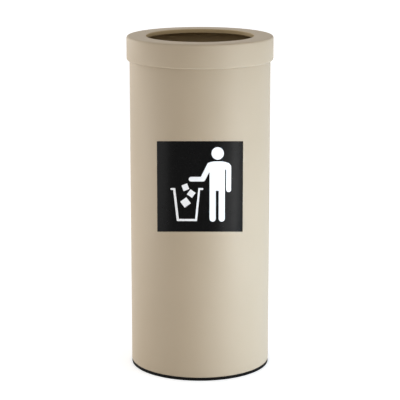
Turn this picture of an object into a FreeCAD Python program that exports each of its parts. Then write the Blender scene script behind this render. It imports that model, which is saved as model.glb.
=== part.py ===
"""Round open-top waste bin for indoor use, in millimetres, +Z up, standing on the floor at Z = 0.

A rolled steel body stands on a black base ring. A drawn lid with a round throat lifts off its top.
Inside stands a galvanised bucket that lifts out by a wire bail. The sign faces -Y.
"""

import FreeCAD, Part
import math
import os

from FreeCAD import Vector

# Overall sizes
OVERALL_HEIGHT = 750.0
BODY_RADIUS = 156.5

# Body shell, rolled sheet with a folded rim and an in-turned foot
BODY_SHEET = 0.8
BODY_FOOT_BEND = 2.5
BODY_LIP_WIDTH = 3.0
HEM_GAP = 0.3
HEM_DEPTH = 12.0
SEAM_WIDTH = 2.4
SEAM_DEPTH = 0.25

# Base ring, black rubber, snapped in under the body
RING_HEIGHT = 6.5
RING_SETBACK = 0.3
RING_FOOT_WIDTH = 13.0
RING_FOOT_THICKNESS = 4.5
RING_UPSTAND_WIDTH = 4.0
RING_UPSTAND_HEIGHT = 7.0
RING_EDGE_ROUND = 0.7
RING_BARB = 0.7
RING_BARB_RISE = 0.8
RING_LIP_GAP = 0.2
RING_GROOVE_COUNT = 2
RING_GROOVE_WIDTH = 1.6
RING_GROOVE_DEPTH = 0.8
RING_LAND_WIDTH = 3.2

# Base pan, pressed disc with a down-turned flange
PAN_SHEET = 0.8
PAN_FLOOR_HEIGHT = 21.0
PAN_BEND = 4.0
PAN_FOOT_GAP = 0.3
PLATEAU_RISE = 3.5
PLATEAU_SLOPE = 3.5
PLATEAU_BEND = 2.5
PLATEAU_GAP = 1.5

# Lid, one drawn ring with a skirt and a turned-down throat
LID_SHEET = 1.0
LID_OVERHANG = 6.4
LID_SKIRT = 54.0
LID_TOP_BEND = 5.0
LID_FOOT_BEND = 4.5
LID_FOOT_GAP = 0.7
LID_REST_GAP = 0.3
OPENING_RADIUS = 119.5
THROAT_DEPTH = 9.4
THROAT_BEND = 2.2
THROAT_HEM_DEPTH = 5.0

# Sign label, a square of black film stuck round the front
LABEL_SIDE = 200.0
LABEL_THICKNESS = 0.3
LABEL_GLUE = 0.1
LABEL_MIDDLE_HEIGHT = 438.5

# Bucket, galvanised sheet with a wired rim, swaged beads and a seamed bottom
BUCKET_SHEET = 0.6
BUCKET_MOUTH_GAP = 2.9
RIM_WIRE_RADIUS = 2.2
RIM_WIRE_FIT = 0.2
RIM_TAIL = 1.2
BEAD_COUNT = 3
BEAD_DEPTH = 2.0
BEAD_WIDTH = 12.0
BEAD_BEND = 3.0
BEAD_LOWEST_SHARE = 0.16
BEAD_HIGHEST_SHARE = 0.80
BUCKET_FLOOR_RISE = 9.0
BUCKET_FLOOR_BEND = 2.0
CHIME_HEIGHT = 6.0
CHIME_BEND = 0.2
CHIME_GAP = 0.3
LOCK_SEAM_WIDTH = 8.0
LOCK_SEAM_THICKNESS = 0.8
LOCK_SEAM_END_GAP = 8.0

# Bail and its ears
EAR_THICKNESS = 2.0
EAR_SEAT_GAP = 0.15
EAR_WIDTH = 26.0
EAR_DROP = 46.0
EAR_HEAD_RADIUS = 8.0
EAR_FOOT_ROUND = 5.0
RIVET_RADIUS = 2.0
RIVET_FIT = 0.05
RIVET_HEAD_RADIUS = 3.6
RIVET_HEAD_HEIGHT = 1.4
RIVET_TOP_DROP = 15.0
RIVET_PITCH = 16.0
BAIL_WIRE_RADIUS = 2.0
BAIL_FIT = 0.05
BAIL_ELBOW = 4.0
BAIL_EAR_GAP = 0.4
BAIL_HEAD_RADIUS = 3.2
BAIL_HEAD_THICKNESS = 1.5
BAIL_PASS_GAP = 12.0
GRIP_RADIUS = 6.0
GRIP_SETBACK = 2.5
GRIP_HALF_LENGTH = 38.0
GRIP_END_ROUND = 1.5
GRIP_FIT = 0.05
GRIP_REST_GAP = 0.3

# Shared by all cuts and joins
OVERRUN = 5.0
JOIN_TOLERANCE = 1e-6

ORIGIN = Vector(0, 0, 0)
UP = Vector(0, 0, 1)
FULL_TURN = 360.0
QUARTER_TURN = FULL_TURN / 4
FRONT = -QUARTER_TURN
BACK = QUARTER_TURN

# Places that several pieces share
body_inside = BODY_RADIUS - BODY_SHEET
body_top = OVERALL_HEIGHT - LID_SHEET - LID_REST_GAP
hem_bend = BODY_SHEET + HEM_GAP / 2
mouth_radius = BODY_RADIUS - 2 * hem_bend
lip_inner = BODY_RADIUS - BODY_LIP_WIDTH
lip_top = RING_HEIGHT + BODY_SHEET
throat_bottom = OVERALL_HEIGHT - THROAT_DEPTH

rim_curl = RIM_WIRE_RADIUS + BUCKET_SHEET
rim_outer = mouth_radius - BUCKET_MOUTH_GAP
bucket_inside = rim_outer - 2 * rim_curl
bucket_outside = bucket_inside + BUCKET_SHEET
bucket_foot = PAN_FLOOR_HEIGHT
chime_inside = bucket_inside - BUCKET_SHEET

ear_outside = bucket_inside - EAR_SEAT_GAP
ear_inside = ear_outside - EAR_THICKNESS
bail_half_width = ear_outside + BAIL_EAR_GAP + BAIL_ELBOW
bail_reach = rim_outer - GRIP_RADIUS - GRIP_SETBACK
bail_outer = bail_half_width + BAIL_WIRE_RADIUS
bail_head_x = math.sqrt(ear_inside**2 - BAIL_HEAD_RADIUS**2) - BAIL_FIT
pass_radius = OPENING_RADIUS - BAIL_PASS_GAP
pivot_height = throat_bottom - math.sqrt(max(0.0, bail_outer**2 - pass_radius**2))
rim_top = pivot_height - GRIP_RADIUS - GRIP_REST_GAP


def round_corner(before, corner, after, bend):
    """Start, middle and end of the arc that rounds a corner, with the directions of travel there."""
    incoming = (corner - before).normalize()
    outgoing = (after - corner).normalize()
    half_turn = incoming.getAngle(outgoing) / 2
    reach = bend * math.tan(half_turn)
    inward = (outgoing - incoming).normalize()
    middle = corner + inward * (bend / math.cos(half_turn) - bend)
    along = (incoming + outgoing).normalize()
    return [
        (corner - incoming * reach, incoming),
        (middle, along),
        (corner + outgoing * reach, outgoing),
    ]


def chain(stations):
    """Edges through stations, each of which is one point or the three points of an arc."""
    edges = []
    last = None
    for station in stations:
        if last and last.distanceToPoint(station[0]) > JOIN_TOLERANCE:
            edges.append(Part.LineSegment(last, station[0]).toShape())
        if len(station) == 3:
            edges.append(Part.Arc(*station).toShape())
        last = station[-1]
    return edges


def closed_face(edges):
    """Flat face inside a loop of edges."""
    return Part.Face(Part.Wire(Part.__sortEdges__(edges)))


def rounded_face(corners):
    """Face inside a closed outline of (point, corner radius) pairs."""
    stations = []
    for i, (corner, bend) in enumerate(corners):
        before = corners[i - 1][0]
        after = corners[(i + 1) % len(corners)][0]
        if bend:
            stations.append([point for point, _ in round_corner(before, corner, after, bend)])
        else:
            stations.append([corner])
    return closed_face(chain(stations + [stations[0][:1]]))


def sheet_face(corners, thickness):
    """Section of a bent sheet. One side follows (radius, height, bend) corners.

    The thickness lies on the left of travel, or on the right where it is negative.
    """
    points = [Vector(radius, 0, height) for radius, height, _ in corners]
    first = (points[1] - points[0]).normalize()
    final = (points[-1] - points[-2]).normalize()
    bends = [
        round_corner(points[i - 1], points[i], points[i + 1], corners[i][2])
        for i in range(1, len(points) - 1)
    ]
    stations = [[(points[0], first)]] + bends + [[(points[-1], final)]]

    def side(offset):
        return [
            [point + Vector(-along.z, 0, along.x) * offset for point, along in station]
            for station in stations
        ]

    drawn = side(0)
    other = side(thickness)
    caps = [
        Part.LineSegment(drawn[end][end], other[end][end]).toShape()
        for end in (0, -1)
    ]
    return closed_face(chain(drawn) + chain(other) + caps)


def turned(face):
    """Solid of revolution about the bin's axis."""
    return face.revolve(ORIGIN, UP, FULL_TURN)


def sector(inner, outer, low, high, middle_angle, half_angle):
    """Part of a round wall, between two radii and two heights, about an angle in degrees."""
    corners = [(inner, low), (outer, low), (outer, high), (inner, high)]
    face = rounded_face([(Vector(radius, 0, height), 0) for radius, height in corners])
    face.rotate(ORIGIN, UP, middle_angle - half_angle)
    return face.revolve(ORIGIN, UP, 2 * half_angle)


def half_angle_of(arc_length, radius):
    """Half the angle, in degrees, that an arc of this length takes up."""
    return math.degrees(arc_length / 2 / radius)


def body_shell():
    """Rolled tube, hemmed inwards at the top, turned in at the foot, butt welded down the back."""
    tube = turned(sheet_face([
        (lip_inner, RING_HEIGHT, 0),
        (BODY_RADIUS, RING_HEIGHT, BODY_FOOT_BEND),
        (BODY_RADIUS, body_top, hem_bend),
        (mouth_radius, body_top, hem_bend),
        (mouth_radius, body_top - HEM_DEPTH, 0),
    ], BODY_SHEET))
    weld_line = sector(
        BODY_RADIUS - SEAM_DEPTH, BODY_RADIUS + OVERRUN,
        RING_HEIGHT + BODY_FOOT_BEND, body_top - HEM_DEPTH,
        BACK, half_angle_of(SEAM_WIDTH, BODY_RADIUS),
    )
    return tube.cut(weld_line)


def base_ring():
    """Rubber foot under the body's edge, with a barbed upstand that snaps over the in-turned lip."""
    outer = BODY_RADIUS - RING_SETBACK
    neck = lip_inner - RING_LIP_GAP
    inner = neck - RING_UPSTAND_WIDTH
    barb_foot = lip_top + RING_LIP_GAP
    top = lip_top + RING_UPSTAND_HEIGHT
    foot_inner = outer - RING_FOOT_WIDTH
    outline = [
        (foot_inner, 0, RING_EDGE_ROUND),
        (outer, 0, RING_EDGE_ROUND),
        (outer, RING_HEIGHT, RING_EDGE_ROUND),
        (neck, RING_HEIGHT, 0),
        (neck, barb_foot, 0),
        (neck + RING_BARB, barb_foot + RING_BARB_RISE, 0),
        (neck - RING_BARB, top, 0),
        (inner, top, RING_EDGE_ROUND),
        (inner, RING_FOOT_THICKNESS, 0),
        (foot_inner, RING_FOOT_THICKNESS, RING_EDGE_ROUND),
    ]
    ring = turned(rounded_face([(Vector(r, 0, z), bend) for r, z, bend in outline]))
    groove_pitch = RING_LAND_WIDTH + RING_GROOVE_WIDTH
    for i in range(RING_GROOVE_COUNT):
        groove_outer = outer - RING_EDGE_ROUND - RING_LAND_WIDTH - i * groove_pitch
        groove = Part.makeCylinder(groove_outer, RING_GROOVE_DEPTH)
        core = Part.makeCylinder(groove_outer - RING_GROOVE_WIDTH, RING_GROOVE_DEPTH)
        ring = ring.cut(groove.cut(core))
    return ring


def base_pan():
    """Pressed floor of the body, with a raised plateau that centres the bucket."""
    plateau_foot = chime_inside - PLATEAU_GAP
    plateau_top = PAN_FLOOR_HEIGHT + PLATEAU_RISE
    return turned(sheet_face([
        (body_inside, RING_HEIGHT + BODY_FOOT_BEND + PAN_FOOT_GAP, 0),
        (body_inside, PAN_FLOOR_HEIGHT, PAN_BEND),
        (plateau_foot, PAN_FLOOR_HEIGHT, PLATEAU_BEND),
        (plateau_foot - PLATEAU_SLOPE, plateau_top, PLATEAU_BEND),
        (0, plateau_top, 0),
    ], PAN_SHEET))


def lid_shell():
    """Drawn lid: foot turned in towards the body, skirt, flat top and a hemmed throat."""
    lid_radius = BODY_RADIUS + LID_OVERHANG
    hem = LID_SHEET + HEM_GAP / 2
    skirt_foot = OVERALL_HEIGHT - LID_SKIRT
    return turned(sheet_face([
        (BODY_RADIUS + LID_FOOT_GAP, skirt_foot, 0),
        (lid_radius, skirt_foot, LID_FOOT_BEND),
        (lid_radius, OVERALL_HEIGHT, LID_TOP_BEND),
        (OPENING_RADIUS, OVERALL_HEIGHT, THROAT_BEND),
        (OPENING_RADIUS, throat_bottom, hem),
        (OPENING_RADIUS + 2 * hem, throat_bottom, hem),
        (OPENING_RADIUS + 2 * hem, throat_bottom + THROAT_HEM_DEPTH, 0),
    ], LID_SHEET))


def sign_label():
    """Square film label stuck round the front of the body."""
    return sector(
        BODY_RADIUS + LABEL_GLUE, BODY_RADIUS + LABEL_GLUE + LABEL_THICKNESS,
        LABEL_MIDDLE_HEIGHT - LABEL_SIDE / 2, LABEL_MIDDLE_HEIGHT + LABEL_SIDE / 2,
        FRONT, half_angle_of(LABEL_SIDE, BODY_RADIUS),
    )


def rivet_places():
    """Heights of the rivets in each ear, and the side of the bucket that each is on."""
    heights = [rim_top - RIVET_TOP_DROP, rim_top - RIVET_TOP_DROP - RIVET_PITCH]
    return [(side, height) for side in (-1, 1) for height in heights]


def rivet_holes():
    """Cutters for the rivet holes through the ears and the bucket's wall."""
    length = EAR_THICKNESS + BUCKET_SHEET + 2 * OVERRUN
    return Part.makeCompound([
        Part.makeCylinder(
            RIVET_RADIUS + RIVET_FIT, length,
            Vector(side * (ear_inside - OVERRUN), 0, height), Vector(side, 0, 0),
        )
        for side, height in rivet_places()
    ])


def bucket_wall():
    """Bucket's wall with swaged beads, its top curled over the rim wire, lock seamed at the back."""
    wall_foot = bucket_foot + BUCKET_SHEET + CHIME_GAP
    height = rim_top - wall_foot
    bead_step = (BEAD_HIGHEST_SHARE - BEAD_LOWEST_SHARE) / (BEAD_COUNT - 1)
    path = [(bucket_inside, wall_foot, 0)]
    for i in range(BEAD_COUNT):
        middle = wall_foot + height * (BEAD_LOWEST_SHARE + i * bead_step)
        path += [
            (bucket_inside, middle - BEAD_WIDTH / 2, BEAD_BEND),
            (bucket_inside + BEAD_DEPTH, middle, BEAD_BEND),
            (bucket_inside, middle + BEAD_WIDTH / 2, BEAD_BEND),
        ]
    path += [
        (bucket_inside, rim_top, rim_curl),
        (rim_outer, rim_top, rim_curl),
        (rim_outer, rim_top - 2 * rim_curl, rim_curl),
        (rim_outer - rim_curl - RIM_TAIL, rim_top - 2 * rim_curl, 0),
    ]
    wall = turned(sheet_face(path, -BUCKET_SHEET))
    seam = sector(
        bucket_inside + BUCKET_SHEET / 2, bucket_outside + LOCK_SEAM_THICKNESS,
        bucket_foot + CHIME_HEIGHT + LOCK_SEAM_END_GAP,
        rim_top - 2 * rim_curl - LOCK_SEAM_END_GAP,
        BACK, half_angle_of(LOCK_SEAM_WIDTH, bucket_outside),
    )
    return wall.fuse(seam).cut(rivet_holes())


def bucket_bottom():
    """Pressed bottom whose edge runs down inside the wall, under it and up outside as a chime."""
    floor = bucket_foot + BUCKET_FLOOR_RISE
    under = bucket_foot + BUCKET_SHEET
    return turned(sheet_face([
        (0, floor, 0),
        (bucket_inside, floor, BUCKET_FLOOR_BEND),
        (bucket_inside, under, CHIME_BEND),
        (bucket_outside, under, CHIME_BEND),
        (bucket_outside, bucket_foot + CHIME_HEIGHT, 0),
    ], -BUCKET_SHEET))


def rim_wire():
    """Steel wire that the bucket's rim is curled over."""
    return Part.makeTorus(
        rim_outer - rim_curl, RIM_WIRE_RADIUS - RIM_WIRE_FIT,
        Vector(0, 0, rim_top - rim_curl),
    )


def bail_ear(side):
    """Curved plate riveted inside the bucket's wall, standing above the rim to carry the bail."""
    half = EAR_WIDTH / 2
    head = EAR_HEAD_RADIUS
    shoulder = rim_top
    top = pivot_height + head
    foot = pivot_height - EAR_DROP
    start = ear_inside - OVERRUN
    outline = [
        (-half, foot, EAR_FOOT_ROUND), (half, foot, EAR_FOOT_ROUND),
        (half, shoulder, EAR_FOOT_ROUND), (head, top, EAR_FOOT_ROUND),
        (-head, top, EAR_FOOT_ROUND), (-half, shoulder, EAR_FOOT_ROUND),
    ]
    face = rounded_face([(Vector(start, y, z), bend) for y, z, bend in outline])
    blank = face.extrude(Vector(EAR_THICKNESS + 2 * OVERRUN, 0, 0))
    wall = sector(
        ear_inside, ear_outside, foot - OVERRUN, top + OVERRUN,
        0, half_angle_of(EAR_WIDTH + 2 * OVERRUN, ear_inside),
    )
    plate = blank.common(wall)
    pivot = Part.makeCylinder(
        BAIL_WIRE_RADIUS + BAIL_FIT, EAR_THICKNESS + 2 * OVERRUN,
        Vector(start, 0, pivot_height), Vector(1, 0, 0),
    )
    plate = plate.cut(pivot)
    if side < 0:
        plate.rotate(ORIGIN, UP, FULL_TURN / 2)
    return plate.cut(rivet_holes())


def rivet(side, height):
    """Round-headed rivet through one ear and the wall, along X."""
    inner = math.sqrt(ear_inside**2 - RIVET_HEAD_RADIUS**2)
    outer = bucket_outside
    dome = (RIVET_HEAD_RADIUS**2 + RIVET_HEAD_HEIGHT**2) / (2 * RIVET_HEAD_HEIGHT)
    slant = math.atan2(RIVET_HEAD_HEIGHT, RIVET_HEAD_RADIUS)
    dome_middle = Vector(dome * math.sin(slant), 0, RIVET_HEAD_HEIGHT - dome + dome * math.cos(slant))
    tip = Vector(0, 0, RIVET_HEAD_HEIGHT)
    rim = Vector(RIVET_HEAD_RADIUS, 0, 0)
    section = closed_face([
        Part.LineSegment(ORIGIN, rim).toShape(),
        Part.Arc(rim, dome_middle, tip).toShape(),
        Part.LineSegment(tip, ORIGIN).toShape(),
    ])
    outer_head = turned(section)
    outer_head.translate(Vector(0, 0, outer))
    inner_head = turned(section)
    inner_head.rotate(ORIGIN, Vector(1, 0, 0), FULL_TURN / 2)
    inner_head.translate(Vector(0, 0, inner))
    shank = Part.makeCylinder(RIVET_RADIUS, outer - inner, Vector(0, 0, inner))
    piece = shank.fuse([outer_head, inner_head])
    piece.rotate(ORIGIN, Vector(0, 1, 0), side * QUARTER_TURN)
    piece.translate(Vector(0, 0, height))
    return piece


def ear_rivets():
    """The rivets of both ears."""
    return Part.makeCompound([rivet(side, height) for side, height in rivet_places()])


def bail_path(half_length=None):
    """Centre line of the bail, lying level at the back. A half length keeps only its middle stretch."""
    side_arc = bail_reach - BAIL_ELBOW
    arc_x = bail_half_width - side_arc
    diagonal = math.sqrt(0.5)
    elbow_x = bail_half_width - BAIL_ELBOW

    def at(x, y):
        return Vector(x, y, pivot_height)

    def side_point(sign, angle):
        return at(sign * (arc_x + side_arc * math.cos(angle)), BAIL_ELBOW + side_arc * math.sin(angle))

    lowest = math.acos((half_length - arc_x) / side_arc) if half_length else 0.0
    between = (lowest + math.pi / 2) / 2
    edges = [Part.LineSegment(at(-arc_x, bail_reach), at(arc_x, bail_reach)).toShape()]
    for sign in (-1, 1):
        edges.append(Part.Arc(
            side_point(sign, math.pi / 2), side_point(sign, between), side_point(sign, lowest),
        ).toShape())
        if half_length:
            continue
        edges.append(Part.Arc(
            at(sign * bail_half_width, BAIL_ELBOW),
            at(sign * (elbow_x + BAIL_ELBOW * diagonal), BAIL_ELBOW * (1 - diagonal)),
            at(sign * elbow_x, 0),
        ).toShape())
        edges.append(Part.LineSegment(
            at(sign * elbow_x, 0), at(sign * (bail_head_x - BAIL_HEAD_THICKNESS / 2), 0),
        ).toShape())
    return Part.Wire(Part.__sortEdges__(edges))


def swept_round(path, radius):
    """Round bar along a path."""
    start = path.OrderedEdges[0]
    point = start.valueAt(start.FirstParameter)
    along = start.tangentAt(start.FirstParameter)
    if start.Orientation == "Reversed":
        point = start.valueAt(start.LastParameter)
        along = start.tangentAt(start.LastParameter)
    section = Part.Wire(Part.Circle(point, along, radius).toShape())
    return path.makePipeShell([section], True, False)


def bail_wire():
    """Bent wire whose ends pass out through the ears and are upset inside them."""
    bail = swept_round(bail_path(), BAIL_WIRE_RADIUS)
    heads = [
        Part.makeCylinder(
            BAIL_HEAD_RADIUS, BAIL_HEAD_THICKNESS,
            Vector(side * bail_head_x, 0, pivot_height), Vector(-side, 0, 0),
        )
        for side in (-1, 1)
    ]
    return bail.fuse(heads)


def bail_grip():
    """Moulded sleeve on the middle of the bail."""
    path = bail_path(GRIP_HALF_LENGTH)
    sleeve = swept_round(path, GRIP_RADIUS)
    ends = [
        edge for edge in sleeve.Edges
        if isinstance(edge.Curve, Part.Circle)
        and abs(edge.Curve.Radius - GRIP_RADIUS) < JOIN_TOLERANCE
        and abs(abs(edge.CenterOfMass.x) - GRIP_HALF_LENGTH) < GRIP_END_ROUND
    ]
    sleeve = sleeve.makeFillet(GRIP_END_ROUND, ends)
    return sleeve.cut(swept_round(bail_path(), BAIL_WIRE_RADIUS + GRIP_FIT))


def main():
    pieces = {
        "body_shell": body_shell(),
        "base_pan": base_pan(),
        "base_ring": base_ring(),
        "sign_label": sign_label(),
        "lid_shell": lid_shell(),
        "bucket_wall": bucket_wall(),
        "bucket_bottom": bucket_bottom(),
        "rim_wire": rim_wire(),
        "bail_ear_left": bail_ear(-1),
        "bail_ear_right": bail_ear(1),
        "ear_rivets": ear_rivets(),
        "bail_wire": bail_wire(),
        "bail_grip": bail_grip(),
    }
    os.makedirs("parts", exist_ok=True)
    for name, shape in pieces.items():
        shape.exportStep(f"parts/{name}.step")
        box = shape.BoundBox
        print(
            f"{name}: valid {shape.isValid()}, solids {len(shape.Solids)}, volume {shape.Volume:.0f} mm3, "
            f"x {box.XMin:.1f} to {box.XMax:.1f}, y {box.YMin:.1f} to {box.YMax:.1f}, "
            f"z {box.ZMin:.1f} to {box.ZMax:.1f}"
        )
    print(f"bail pivot height {pivot_height:.3f}, rim top {rim_top:.3f}, mouth radius {mouth_radius:.3f}")
    print(f"bucket inside radius {bucket_inside:.3f}, bucket floor {bucket_foot + BUCKET_FLOOR_RISE:.3f}")


main()
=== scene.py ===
import bmesh
import bpy
import math
from mathutils import Matrix, Vector


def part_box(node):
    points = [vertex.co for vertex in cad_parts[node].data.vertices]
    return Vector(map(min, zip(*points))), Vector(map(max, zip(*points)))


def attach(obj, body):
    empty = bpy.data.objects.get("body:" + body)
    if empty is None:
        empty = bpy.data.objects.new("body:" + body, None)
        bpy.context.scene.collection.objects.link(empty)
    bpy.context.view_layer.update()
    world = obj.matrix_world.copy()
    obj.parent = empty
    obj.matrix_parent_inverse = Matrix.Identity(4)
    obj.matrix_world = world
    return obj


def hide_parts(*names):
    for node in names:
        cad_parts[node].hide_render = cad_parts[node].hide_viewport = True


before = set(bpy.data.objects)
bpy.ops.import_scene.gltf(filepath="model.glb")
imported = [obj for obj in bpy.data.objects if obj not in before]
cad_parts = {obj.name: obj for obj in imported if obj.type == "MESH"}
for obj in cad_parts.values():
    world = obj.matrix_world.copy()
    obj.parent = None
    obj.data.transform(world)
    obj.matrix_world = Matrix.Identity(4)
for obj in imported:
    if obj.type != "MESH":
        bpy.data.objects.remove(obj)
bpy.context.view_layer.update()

# Base ring
# A black rubber ring that the bin stands on, moulded in one piece and snapped in under the body by a barb.
# Its skin is matt and slightly mottled, and two grooves underneath help it to grip the floor.
# The sizes of this and the other turned pieces are in millimetres.

mm = 0.001
ring_inside = 143.2
ring_outside = 156.2
ring_height = 6.5
ring_foot_thickness = 4.5
ring_grooves = ((145.9, 147.5), (150.7, 152.3))
ring_groove_depth = 0.8
barb_neck = 153.3
barb_foot = 7.5
barb_tip = 154.0
barb_tip_height = 8.3
upstand_inside = 149.3
upstand_outside = 152.6
upstand_top = 14.3
ring_bend = 0.7
barb_bend = 0.2
upstand_lip_bend = 0.3
upstand_root_bend = 0.5
rubber_tones = ((0.0022, 0.0020, 0.0018), (0.0045, 0.0041, 0.0037))


def node_maker(tree):
    """Functions that add a node to a tree and that fill a node's inputs, by value or by link."""

    def fill(node, inputs):
        for socket, value in inputs.items():
            if isinstance(value, bpy.types.NodeSocket):
                tree.links.new(value, node.inputs[socket])
            else:
                node.inputs[socket].default_value = value

    def add(kind, inputs=None, **settings):
        node = tree.nodes.new(kind)
        for setting, value in settings.items():
            setattr(node, setting, value)
        fill(node, inputs or {})
        return node

    return add, fill


def new_finish(name):
    """Material, with functions that add its nodes and that fill its shader's inputs."""
    material = bpy.data.materials.new(name)
    material.use_nodes = True
    add, fill = node_maker(material.node_tree)
    shader = material.node_tree.nodes["Principled BSDF"]
    return material, add, lambda inputs: fill(shader, inputs)


def own_place(add):
    """Place on a piece, in its own space."""
    return add("ShaderNodeTexCoord").outputs["Object"]


def noise(add, scale, detail):
    """Soft random tone over a piece."""
    return add("ShaderNodeTexNoise", {"Vector": own_place(add), "Scale": scale, "Detail": detail}).outputs["Fac"]


noise_span = (0.3, 0.7)


def ramp(add, factor, tones, stops=noise_span):
    """Tones that run into each other between the stops of a factor. A number stands for a grey."""
    node = add("ShaderNodeValToRGB", {"Fac": factor})
    elements = node.color_ramp.elements
    for stop in stops[1:-1]:
        elements.new(stop)
    for element, stop, tone in zip(elements, stops, tones):
        element.position = stop
        element.color = (*tone, 1) if isinstance(tone, tuple) else (tone, tone, tone, 1)
    return node.outputs["Color"]


def bump(add, height, strength, distance):
    """Fine relief of a skin, with its depth in metres."""
    relief = add("ShaderNodeBump", {"Height": height, "Strength": strength, "Distance": distance})
    return relief.outputs["Normal"]


def rubber_finish():
    material, add, dress = new_finish("base_rubber_skin")
    mottle = noise(add, scale=60.0, detail=5.0)
    grain = noise(add, scale=1500.0, detail=2.0)
    dress({
        "Base Color": ramp(add, mottle, rubber_tones, stops=(0.35, 0.7)),
        "Roughness": ramp(add, mottle, (0.66, 0.82)),
        "Normal": bump(add, grain, strength=0.25, distance=0.0002),
        "Specular IOR Level": 0.12,
    })
    return material


def round_corners(shape, verts, radii, segments):
    """Rounds the corners of a chain or of a flat face, each to its own radius."""
    turns = []
    for i, vert in enumerate(verts):
        incoming = vert.co - verts[i - 1].co
        outgoing = verts[(i + 1) % len(verts)].co - vert.co
        turns.append(incoming.angle(outgoing))
    for vert, turn, radius in zip(verts, turns, radii):
        if radius:
            bmesh.ops.bevel(
                shape, geom=[vert], offset=radius * math.tan(turn / 2), offset_type="OFFSET",
                segments=segments, profile=0.5, affect="VERTICES", material=-1, clamp_overlap=False,
            )


bend_segments = 8
turn_steps = 256
weld_distance = 1e-6
sharp_degrees = 35.0


def section_line(corners, closed=False):
    """Upright section through (radius, height, bend) corners in millimetres, as a chain with rounded corners."""
    shape = bmesh.new()
    verts = [shape.verts.new((radius * mm, 0, height * mm)) for radius, height, _ in corners]
    pairs = list(zip(verts, verts[1:])) + ([(verts[-1], verts[0])] if closed else [])
    for pair in pairs:
        shape.edges.new(pair)
    round_corners(shape, verts, [bend * mm for _, _, bend in corners], bend_segments)
    return shape


def turn_round(shape):
    """Turns a section about the bin's axis and closes its seam and pole."""
    section = shape.verts[:] + shape.edges[:]
    bmesh.ops.spin(
        shape, geom=section, cent=(0, 0, 0), axis=(0, 0, 1), angle=math.tau, steps=turn_steps, use_merge=True,
    )
    bmesh.ops.remove_doubles(shape, verts=shape.verts[:], dist=weld_distance)
    bmesh.ops.recalc_face_normals(shape, faces=shape.faces[:])
    return shape


def piece_from(name, shape, material, smooth=True):
    """Object at the origin from a finished shape. A smooth one keeps its sharp edges."""
    mesh = bpy.data.meshes.new(name)
    shape.to_mesh(mesh)
    shape.free()
    if smooth:
        mesh.shade_smooth()
        mesh.set_sharp_from_angle(angle=math.radians(sharp_degrees))
    mesh.materials.append(material)
    piece = bpy.data.objects.new(name, mesh)
    bpy.context.scene.collection.objects.link(piece)
    return piece


ring_foot = [(ring_inside, 0, ring_bend)]
for inner, outer in ring_grooves:
    ring_foot += [
        (inner, 0, 0), (inner, ring_groove_depth, 0), (outer, ring_groove_depth, 0), (outer, 0, 0),
    ]
ring = turn_round(section_line([
    *ring_foot,
    (ring_outside, 0, ring_bend),
    (ring_outside, ring_height, ring_bend),
    (barb_neck, ring_height, 0),
    (barb_neck, barb_foot, 0),
    (barb_tip, barb_tip_height, barb_bend),
    (upstand_outside, upstand_top, upstand_lip_bend),
    (upstand_inside, upstand_top, ring_bend),
    (upstand_inside, ring_foot_thickness, upstand_root_bend),
    (ring_inside, ring_foot_thickness, ring_bend),
], closed=True))
rubber_ring = piece_from("rubber_ring", ring, rubber_finish())
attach(rubber_ring, "bin_body")
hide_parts("base_ring")

# Body and its floor pan
# The body is sheet steel rolled into a tube and butt welded, with a pressed pan spot welded inside.
# Both are powder coated sand beige: a satin film with a very fine orange-peel skin. Faces that look inwards are
# painted a warmer, deeper beige, as painted shade for the warm light that bounces about inside.

body_sheet = 0.8
body_outside = 156.5
body_lip = 153.5
body_foot_bend = 2.5
body_top = 748.7
hem_inside = 154.6
hem_foot = 736.7
hem_bend = 0.95
body_inside_point = (155.5, 400)
sand_coat_tones = ((0.462, 0.371, 0.258), (0.478, 0.384, 0.270))
# Warmer, deeper beige painted on faces that look inwards: painted shade for light bouncing inside the bin.
inside_shade_tones = ((0.520, 0.385, 0.205), (0.540, 0.400, 0.215))
inside_shade_mark = "inside_shade_share"


def powder_finish():
    material, add, dress = new_finish("sand_powder_coat")
    cloud = noise(add, scale=9.0, detail=3.0)
    peel = noise(add, scale=900.0, detail=2.0)
    # Faces marked as looking inwards take the painted inside shade.
    coat_and_shade = add("ShaderNodeMixRGB", {
        "Fac": add("ShaderNodeAttribute", attribute_name=inside_shade_mark).outputs["Fac"],
        "Color1": ramp(add, cloud, sand_coat_tones),
        "Color2": ramp(add, cloud, inside_shade_tones),
    })
    dress({
        "Base Color": coat_and_shade.outputs["Color"],
        "Roughness": ramp(add, cloud, (0.47, 0.53)),
        "Normal": bump(add, peel, strength=0.08, distance=0.0001),
        "Specular IOR Level": 0.4,
    })
    return material


def sheet_from(shape, thickness, inside_point):
    """Gives a turned skin its thickness, towards a (radius, height) point, and marks what looks inwards, where
    the painted inside shade goes.
    """
    target = Vector((inside_point[0] * mm, 0, inside_point[1] * mm))
    face = min(shape.faces, key=lambda f: (f.calc_center_median() - target).length)
    outward = face.normal.dot(face.calc_center_median() - target) > 0
    if not outward:
        bmesh.ops.reverse_faces(shape, faces=shape.faces[:])
    bmesh.ops.solidify(shape, geom=shape.faces[:], thickness=thickness * mm)
    shape.normal_update()
    mark = shape.verts.layers.float.new(inside_shade_mark)
    # How far each point looks inwards sets how much painted inside shade it gets.
    for vert in shape.verts:
        from_axis = Vector((vert.co.x, vert.co.y, 0)).normalized()
        vert[mark] = max(0.0, -vert.normal.dot(from_axis))
    return shape


powder_coat = powder_finish()
body = sheet_from(turn_round(section_line([
    (body_lip, ring_height, 0),
    (body_outside, ring_height, body_foot_bend),
    (body_outside, body_top, hem_bend),
    (hem_inside, body_top, hem_bend),
    (hem_inside, hem_foot, 0),
])), body_sheet, body_inside_point)

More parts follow.
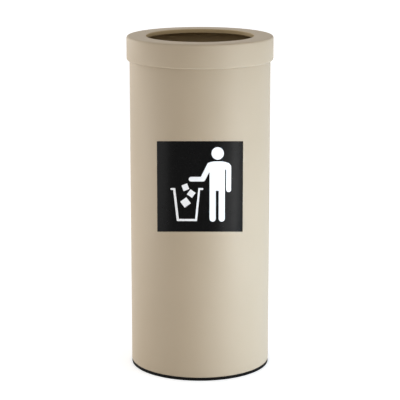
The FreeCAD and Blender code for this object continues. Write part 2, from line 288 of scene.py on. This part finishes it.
# The butt weld shows at the back as a shallow groove with sloping sides.
weld_half_widths = (1.2, 0.7)
weld_depth = 0.25
weld_floor_within = 1.0
weld_outside_radius = 156.4
weld_foot = 8.9
weld_top = 748
back_strip_half_width = 4
for x in (side * half * mm for half in weld_half_widths for side in (-1, 1)):
    back = []
    for face in body.faces:
        middle = face.calc_center_median()
        if middle.y > 0 and abs(middle.x) < back_strip_half_width * mm:
            back.append(face)
    edges = {edge for face in back for edge in face.edges}
    verts = {vert for face in back for vert in face.verts}
    bmesh.ops.bisect_plane(
        body, geom=[*verts, *edges, *back], dist=weld_distance, plane_co=(x, 0, 0), plane_no=(1, 0, 0),
    )
weld_floor = [
    vert for vert in body.verts
    if vert.co.y > weld_outside_radius * mm
    and abs(vert.co.x) < weld_floor_within * mm
    and weld_foot * mm < vert.co.z < weld_top * mm
]
bmesh.ops.translate(body, verts=weld_floor, vec=(0, -weld_depth * mm, 0))
steel_body = piece_from("steel_body", body, powder_coat)
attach(steel_body, "bin_body")
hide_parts("body_shell")

pan_sheet = 0.8
pan_outside = 155.7
pan_flange_foot = 9.3
pan_gutter_height = 21.0
pan_bend = 4.0
plateau_foot = 144.0
plateau_edge = 140.5
plateau_height = 24.5
plateau_bend = 2.5
pan_inside_point = (100, 24.0)
pan = sheet_from(turn_round(section_line([
    (pan_outside, pan_flange_foot, 0),
    (pan_outside, pan_gutter_height, pan_bend),
    (plateau_foot, pan_gutter_height, plateau_bend),
    (plateau_edge, plateau_height, plateau_bend),
    (0, plateau_height, 0),
])), pan_sheet, pan_inside_point)
floor_pan = piece_from("floor_pan", pan, powder_coat)
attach(floor_pan, "bin_body")
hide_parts("base_pan")

# Sign
# A square of gloss black film stuck round the front, with the common litter figure printed in white.
# It follows the body's curve, and is cut with a slight bow so that it looks square to someone in front.
# The figure is drawn in shares of the sign's side, each corner as (across, up, corner radius).

sign_low, sign_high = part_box("sign_label")
body_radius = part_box("body_shell")[1].x
sign_side = sign_high.z - sign_low.z
sign_lift = 0.0023
glue_thickness = 0.0001
film_inside = body_radius + glue_thickness
film_outside = -sign_low.y
print_thickness = 0.00012
strip_width = 0.004
cut_distance = 1e-7
viewer_height = 1.19
viewer_distance = 3.64
print_segments = 6
head_segments = 64
film_corner_share = 0.004
litter_corner_share = 0.003


def on_sign(across, up):
    """Place on the flat sign, from shares of its side, in the XZ plane with the sign's middle at the origin."""
    return Vector(((across - 0.5) * sign_side, 0, (up - 0.5) * sign_side))


def flat_outline(corners):
    """Flat face with rounded corners, from (across, up, corner radius) shares of the sign."""
    shape = bmesh.new()
    verts = [shape.verts.new(on_sign(across, up)) for across, up, _ in corners]
    shape.faces.new(verts)
    round_corners(shape, verts, [radius * sign_side for _, _, radius in corners], print_segments)
    bmesh.ops.remove_doubles(shape, verts=shape.verts[:], dist=weld_distance)
    return shape


def flat_square(side_share, corner_share):
    """Flat square with rounded corners in the sign's middle."""
    low, high = 0.5 - side_share / 2, 0.5 + side_share / 2
    return flat_outline([
        (across, up, corner_share) for across, up in ((low, low), (high, low), (high, high), (low, high))
    ])


def wrap_round_body(shape, inside, outside):
    """Cuts a flat shape into upright strips, bends it round the body and gives it a thickness."""
    strips = math.ceil(sign_side / strip_width)
    for i in range(1, strips):
        x = -sign_side / 2 + i * sign_side / strips
        geometry = shape.verts[:] + shape.edges[:] + shape.faces[:]
        bmesh.ops.bisect_plane(
            shape, geom=geometry, dist=cut_distance, plane_co=(x, 0, 0), plane_no=(1, 0, 0),
        )
    middle = (sign_low.z + sign_high.z) / 2 + sign_lift
    for vert in shape.verts:
        angle = vert.co.x / body_radius
        up = vert.co.z + middle
        set_back = inside * (1 - math.cos(angle))
        up -= set_back * (viewer_height - up) / (viewer_distance - inside)
        vert.co = Vector((inside * math.sin(angle), -inside * math.cos(angle), up))
    raised = bmesh.ops.extrude_face_region(shape, geom=shape.faces[:])["geom"]
    outward = Matrix.Diagonal((outside / inside, outside / inside, 1, 1))
    moved = [item for item in raised if isinstance(item, bmesh.types.BMVert)]
    bmesh.ops.transform(shape, matrix=outward, verts=moved)
    bmesh.ops.recalc_face_normals(shape, faces=shape.faces[:])


def film_finish():
    material, add, dress = new_finish("gloss_black_film")
    ripple = noise(add, scale=35.0, detail=3.0)
    dress({
        "Base Color": ramp(add, ripple, (0.0012, 0.0022)),
        "Roughness": ramp(add, ripple, (0.23, 0.29)),
        "Normal": bump(add, ripple, strength=0.05, distance=0.0003),
        "Specular IOR Level": 0.072,
    })
    return material


def ink_finish():
    material, add, dress = new_finish("white_sign_ink")
    cover = noise(add, scale=400.0, detail=3.0)
    dress({
        "Base Color": ramp(add, cover, (0.95, 0.98)),
        "Roughness": ramp(add, cover, (0.40, 0.48)),
    })
    return material


film = flat_square(1, film_corner_share)
wrap_round_body(film, film_inside, film_outside)
sign_film = piece_from("sign_film", film, film_finish())
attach(sign_film, "bin_body")
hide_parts("sign_label")

standing_person_shares = [
    (0.584, 0.7625, 0.030), (0.637, 0.7780, 0.120), (0.748, 0.7800, 0.200),
    (0.823, 0.7600, 0.050), (0.8475, 0.7290, 0.030),
    (0.8475, 0.4410, 0.029), (0.7895, 0.4410, 0.029),
    (0.7895, 0.6900, 0.003), (0.7745, 0.6900, 0.003),
    (0.7745, 0.1122, 0.035), (0.7045, 0.1122, 0.035),
    (0.7045, 0.4560, 0.003), (0.6720, 0.4560, 0.003),
    (0.6720, 0.1122, 0.0345), (0.6030, 0.1122, 0.0345),
    (0.6030, 0.6660, 0.004), (0.5480, 0.5580, 0.026),
    (0.3780, 0.5580, 0.0255), (0.3780, 0.6092, 0.0255), (0.5090, 0.6092, 0.010),
]
open_bin_shares = [
    (0.1705, 0.4860, 0.0100), (0.2265, 0.4860, 0.003),
    (0.2670, 0.1430, 0.003), (0.4468, 0.1430, 0.003),
    (0.4830, 0.4860, 0.003), (0.5350, 0.4860, 0.0100),
    (0.5350, 0.4645, 0.0100), (0.5010, 0.4645, 0.003),
    (0.4680, 0.1195, 0.010), (0.2440, 0.1195, 0.010),
    (0.2030, 0.4645, 0.003), (0.1705, 0.4645, 0.0100),
]
head_centre_shares = (0.6920, 0.8665)
head_radius_share = 0.0690
# Middle across and up, side, and turn in degrees, of each piece of litter.
litter_shares = [(0.341, 0.4945, 0.067, 22.0), (0.4055, 0.4250, 0.068, -36.0), (0.342, 0.3260, 0.0835, 36.0)]

head = bmesh.new()
bmesh.ops.create_circle(head, cap_ends=True, segments=head_segments, radius=head_radius_share * sign_side)
bmesh.ops.rotate(head, verts=head.verts[:], cent=(0, 0, 0), matrix=Matrix.Rotation(math.radians(90), 3, "X"))
bmesh.ops.translate(head, verts=head.verts[:], vec=on_sign(*head_centre_shares))

litter = []
for across, up, side_share, turn_degrees in litter_shares:
    square = flat_square(side_share, litter_corner_share)
    turn = Matrix.Rotation(math.radians(-turn_degrees), 3, "Y")
    bmesh.ops.rotate(square, verts=square.verts[:], cent=(0, 0, 0), matrix=turn)
    bmesh.ops.translate(square, verts=square.verts[:], vec=on_sign(across, up))
    litter.append(square)

sign_ink = ink_finish()
figures = {
    "figure_person": flat_outline(standing_person_shares),
    "figure_head": head,
    "figure_bin": flat_outline(open_bin_shares),
    **{f"figure_litter_{i + 1}": square for i, square in enumerate(litter)},
}
for name, shape in figures.items():
    wrap_round_body(shape, film_outside, film_outside + print_thickness)
    figure = piece_from(name, shape, sign_ink)
    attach(figure, "bin_body")

# Inner bucket
# Galvanised sheet, with a wired rim, swaged beads and a seamed bottom, two riveted ears and a wire bail.
# The zinc shows a fine spangle of dull and bright flakes, and the drawn wire is brighter.
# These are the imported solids, which get a better finish here.

zinc_tones = ((0.32, 0.335, 0.35), (0.50, 0.515, 0.53))
zinc_span = (0.1, 0.6)
wire_tones = ((0.52, 0.53, 0.54), (0.64, 0.65, 0.66))


def zinc_finish():
    material, add, dress = new_finish("galvanised_spangle")
    flakes = add("ShaderNodeTexVoronoi", {"Vector": own_place(add), "Scale": 110.0, "Randomness": 1.0})
    flake_tone = add("ShaderNodeSeparateColor", {"Color": flakes.outputs["Color"]}).outputs["Red"]
    bloom = noise(add, scale=14.0, detail=4.0)
    tone = add("ShaderNodeMath", {0: flake_tone, 1: bloom}, operation="MULTIPLY").outputs["Value"]
    dress({
        "Base Color": ramp(add, tone, zinc_tones, stops=zinc_span),
        "Roughness": ramp(add, tone, (0.52, 0.38), stops=zinc_span),
        "Metallic": 0.8,
    })
    return material


def wire_finish():
    material, add, dress = new_finish("zinc_plated_wire")
    drawn = noise(add, scale=220.0, detail=3.0)
    dress({
        "Base Color": ramp(add, drawn, wire_tones),
        "Roughness": ramp(add, drawn, (0.24, 0.36)),
        "Metallic": 1.0,
    })
    return material


def finish_nodes(names, material):
    """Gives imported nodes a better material."""
    for name in names:
        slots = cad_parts[name].data.materials
        slots.clear()
        slots.append(material)


finish_nodes(("bucket_wall", "bucket_bottom", "bail_ear_left", "bail_ear_right"), zinc_finish())
finish_nodes(("rim_wire", "ear_rivets", "bail_wire"), wire_finish())

# Bail grip
# A moulded black plastic sleeve, pushed on the middle of the bail's wire.
# Its skin has a fine pebbled grain.

grip_tones = (0.010, 0.016)
grip_span = (0.1, 0.7)


def grip_finish():
    material, add, dress = new_finish("grained_black_plastic")
    grain = add("ShaderNodeTexVoronoi", {"Vector": own_place(add), "Scale": 1100.0}).outputs["Distance"]
    dress({
        "Base Color": ramp(add, grain, grip_tones, stops=grip_span),
        "Roughness": ramp(add, grain, (0.44, 0.56), stops=grip_span),
        "Normal": bump(add, grain, strength=0.3, distance=0.0002),
    })
    return material


finish_nodes(("bail_grip",), grip_finish())

# Lid
# One drawn steel ring with a deep skirt and a turned-down, hemmed throat, in the body's powder coat.
# It sits loose on the body's rim and lifts off.

lid_sheet = 1.0
lid_outside = 162.9
lid_top = 750.0
lid_top_bend = 5.0
skirt_lip = 157.2
skirt_foot = 696.0
skirt_foot_bend = 4.5
throat_inside = 119.5
throat_foot = 740.6
throat_bend = 2.2
throat_hem_outside = 121.8
throat_hem_top = 745.6
throat_hem_bend = 1.15
lid_inside_point = (140, 749.5)
lid = sheet_from(turn_round(section_line([
    (skirt_lip, skirt_foot, 0),
    (lid_outside, skirt_foot, skirt_foot_bend),
    (lid_outside, lid_top, lid_top_bend),
    (throat_inside, lid_top, throat_bend),
    (throat_inside, throat_foot, throat_hem_bend),
    (throat_hem_outside, throat_foot, throat_hem_bend),
    (throat_hem_outside, throat_hem_top, 0),
])), lid_sheet, lid_inside_point)
ring_lid = piece_from("ring_lid", lid, powder_coat)
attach(ring_lid, "lid")
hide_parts("lid_shell")

# Studio
# A white floor that runs out to a low white wall, soft boxes on both sides and a pale sky.
# What is seen directly, in a gloss or through glass is topped up to white, and lights nothing. Near the bin
# it is topped up less, so that the floor keeps the bin's faint shadow. Lengths here are in metres.

floor_half_side = 30.0
wall_radius = 29.0
wall_height = 9.0
wall_steps = 96
studio_paint = (0.80, 0.80, 0.80, 1)
top_up_near = 0.42
top_up_far = 0.55
near_distance = 0.5
far_distance = 5.0
sky_greys = (0.42, 0.61, 0.83)
sky_stops = (0.0, 0.4, 1.0)


def white_finish():
    material, add, dress = new_finish("studio_white")
    rays = add("ShaderNodeLightPath").outputs
    seen = add("ShaderNodeMath", {0: rays["Is Camera Ray"], 1: rays["Is Glossy Ray"]}, operation="ADD")
    seen = add(
        "ShaderNodeMath", {0: seen.outputs["Value"], 1: rays["Is Transmission Ray"]},
        operation="ADD", use_clamp=True,
    )
    away = add("ShaderNodeVectorMath", {0: own_place(add)}, operation="LENGTH").outputs["Value"]
    top_up = add("ShaderNodeMapRange", {
        "Value": away, "From Min": near_distance, "From Max": far_distance,
        "To Min": top_up_near, "To Max": top_up_far,
    })
    glow = add(
        "ShaderNodeMath", {0: seen.outputs["Value"], 1: top_up.outputs["Result"]}, operation="MULTIPLY",
    )
    dress({
        "Emission Strength": glow.outputs["Value"],
        "Emission Color": (1, 1, 1, 1),
        "Base Color": studio_paint,
        "Roughness": 0.9,
        "Specular IOR Level": 0.0,
    })
    return material


studio_white = white_finish()
floor = bmesh.new()
bmesh.ops.create_grid(floor, x_segments=1, y_segments=1, size=floor_half_side)
piece_from("studio_floor", floor, studio_white, smooth=False)
wall = bmesh.new()
wall_foot = wall.verts.new((wall_radius, 0, 0))
wall_top = wall.verts.new((wall_radius, 0, wall_height))
wall_line = wall.edges.new((wall_foot, wall_top))
bmesh.ops.spin(
    wall, geom=[wall_foot, wall_top, wall_line], cent=(0, 0, 0), axis=(0, 0, 1),
    angle=math.tau, steps=wall_steps, use_merge=True,
)
piece_from("studio_wall", wall, studio_white, smooth=False)

world = bpy.data.worlds.new("pale_sky")
bpy.context.scene.world = world
world.use_nodes = True
add_to_sky, fill_sky = node_maker(world.node_tree)
direction = add_to_sky("ShaderNodeTexCoord").outputs["Generated"]
upward = add_to_sky("ShaderNodeSeparateXYZ", {"Vector": direction}).outputs["Z"]
fill_sky(world.node_tree.nodes["Background"], {"Color": ramp(add_to_sky, upward, sky_greys, stops=sky_stops)})


def soft_box(
    name, turn_degrees, distance, height, tilt_to, width, tall, power,
    colour=(1, 1, 1), in_gloss=True, in_matt=True,
):
    """Rectangular lamp round the bin, turned from the front towards +X, that faces a height on the bin's axis."""
    turn = math.radians(turn_degrees)
    lamp = bpy.data.lights.new(name, "AREA")
    lamp.shape = "RECTANGLE"
    lamp.size = width
    lamp.size_y = tall
    lamp.energy = power
    lamp.color = colour
    holder = bpy.data.objects.new(name, lamp)
    holder.location = (distance * math.sin(turn), -distance * math.cos(turn), height)
    aim = Vector((0, 0, tilt_to)) - holder.location
    holder.rotation_euler = aim.to_track_quat("-Z", "Y").to_euler()
    holder.visible_camera = False
    holder.visible_glossy = in_gloss
    holder.visible_diffuse = in_matt
    bpy.context.scene.collection.objects.link(holder)


soft_box(
    "left_box", turn_degrees=-90, distance=1.4, height=0.28, tilt_to=0.30,
    width=0.8, tall=0.52, power=4.8,
)
soft_box(
    "left_sheen_box", turn_degrees=-61, distance=1.4, height=0.22, tilt_to=0.30,
    width=0.5, tall=0.50, power=1.6, in_matt=False,
)
soft_box(
    "left_back_box", turn_degrees=-124, distance=2.0, height=1.00, tilt_to=0.60,
    width=1.0, tall=1.0, power=9.6,
)
soft_box(
    "right_box", turn_degrees=60, distance=1.5, height=0.34, tilt_to=0.36,
    width=0.45, tall=0.66, power=4.9,
)
soft_box(
    "low_front_box", turn_degrees=45, distance=1.2, height=0.16, tilt_to=0.22,
    width=0.6, tall=0.30, power=3.0,
)
soft_box(
    "low_right_box", turn_degrees=72, distance=1.2, height=0.16, tilt_to=0.22,
    width=0.6, tall=0.30, power=8.2, colour=(0.39, 0.66, 1.0), in_gloss=False,
)

# Camera
# A long lens, a little above the bin and looking slightly down at its front.
# Its focal length is given in pixels of the square frame.

camera_height = 1.1924
camera_distance = 3.6368
camera_tilt_degrees = 12.648
frame_pixels = 400
focal_pixels = 1648.2
sensor_width_mm = 36.0
camera_data = bpy.data.cameras.new("photo_camera")
camera_data.sensor_fit = "HORIZONTAL"
camera_data.sensor_width = sensor_width_mm
camera_data.lens = sensor_width_mm * focal_pixels / frame_pixels
camera = bpy.data.objects.new("photo_camera", camera_data)
camera.location = (0, -camera_distance, camera_height)
camera.rotation_euler = (math.radians(90 - camera_tilt_degrees), 0, 0)
bpy.context.scene.collection.objects.link(camera)
bpy.context.scene.camera = camera
bpy.context.scene.view_settings.view_transform = "Standard"
